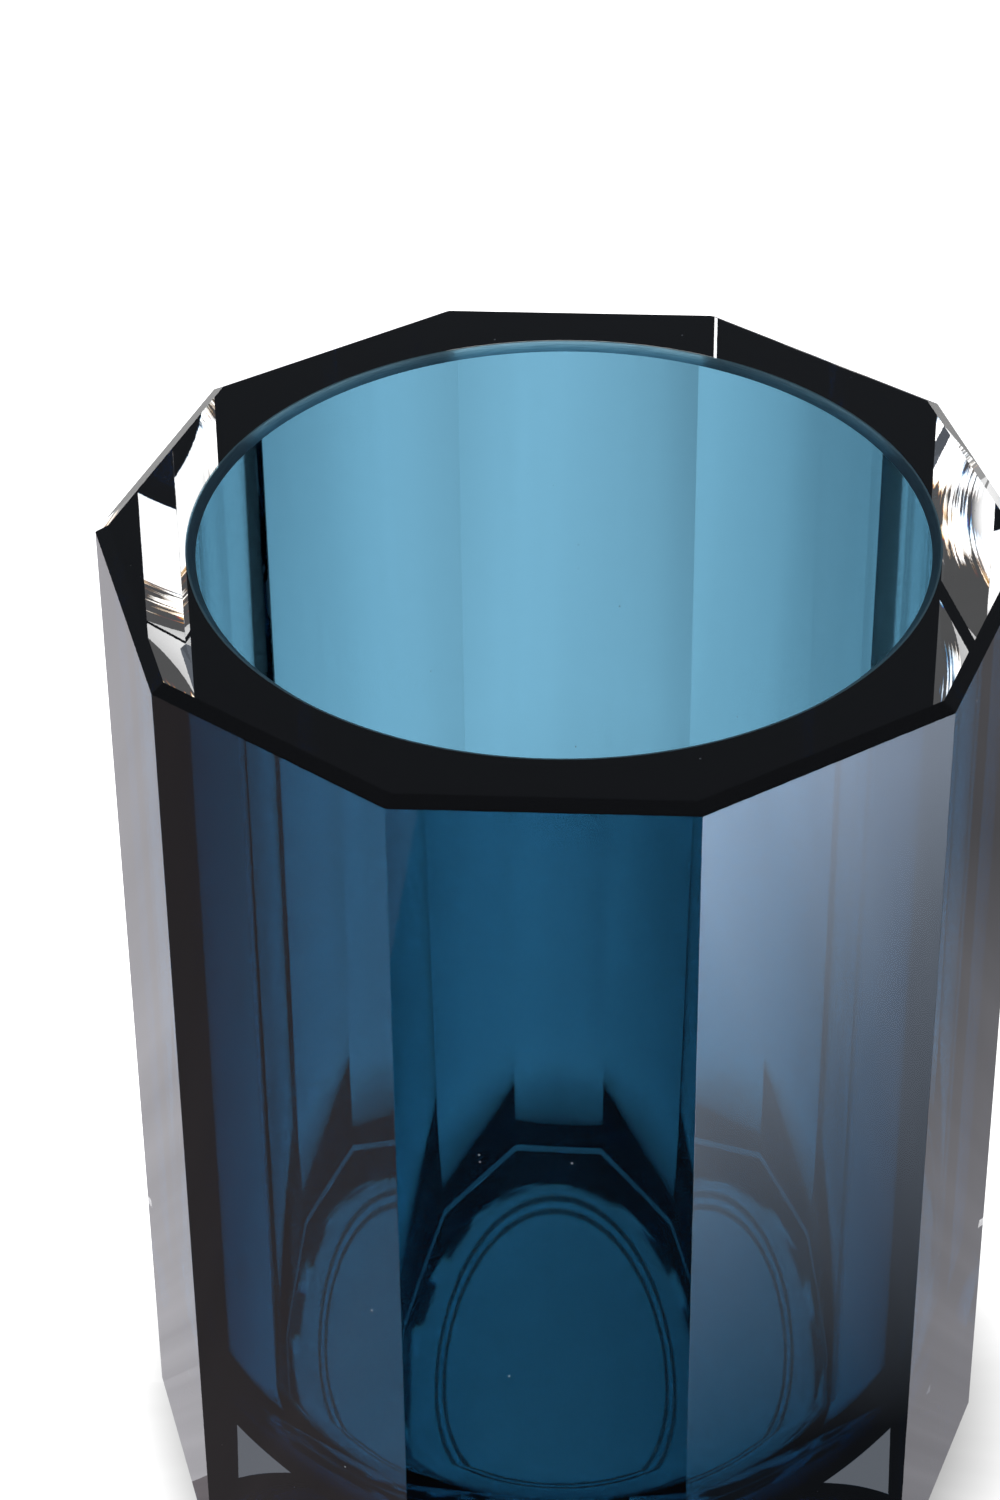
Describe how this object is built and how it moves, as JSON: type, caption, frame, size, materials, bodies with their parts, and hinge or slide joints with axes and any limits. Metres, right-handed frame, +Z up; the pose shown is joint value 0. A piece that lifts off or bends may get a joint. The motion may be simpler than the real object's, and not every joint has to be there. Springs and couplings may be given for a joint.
{
  "type": "vase",
  "caption": "Free-standing vase of thick clear crystal cut with flat sides, lined inside with a thin layer of blue glass; open round hollow for water and stems.",
  "frame": {"origin": "centre of the flat base, on the surface that the vase stands on", "axes": "+Z up along the hollow's axis, -Y out of the middle of one flat side"},
  "size_m": [0.2, 0.1902, 0.255],
  "materials": {
    "clear_crystal": "polished",
    "blue_glass": "polished"
  },
  "bodies": {
    "root": {"crystal_body": "clear_crystal", "blue_lining": "blue_glass"}
  },
  "joints": []
}
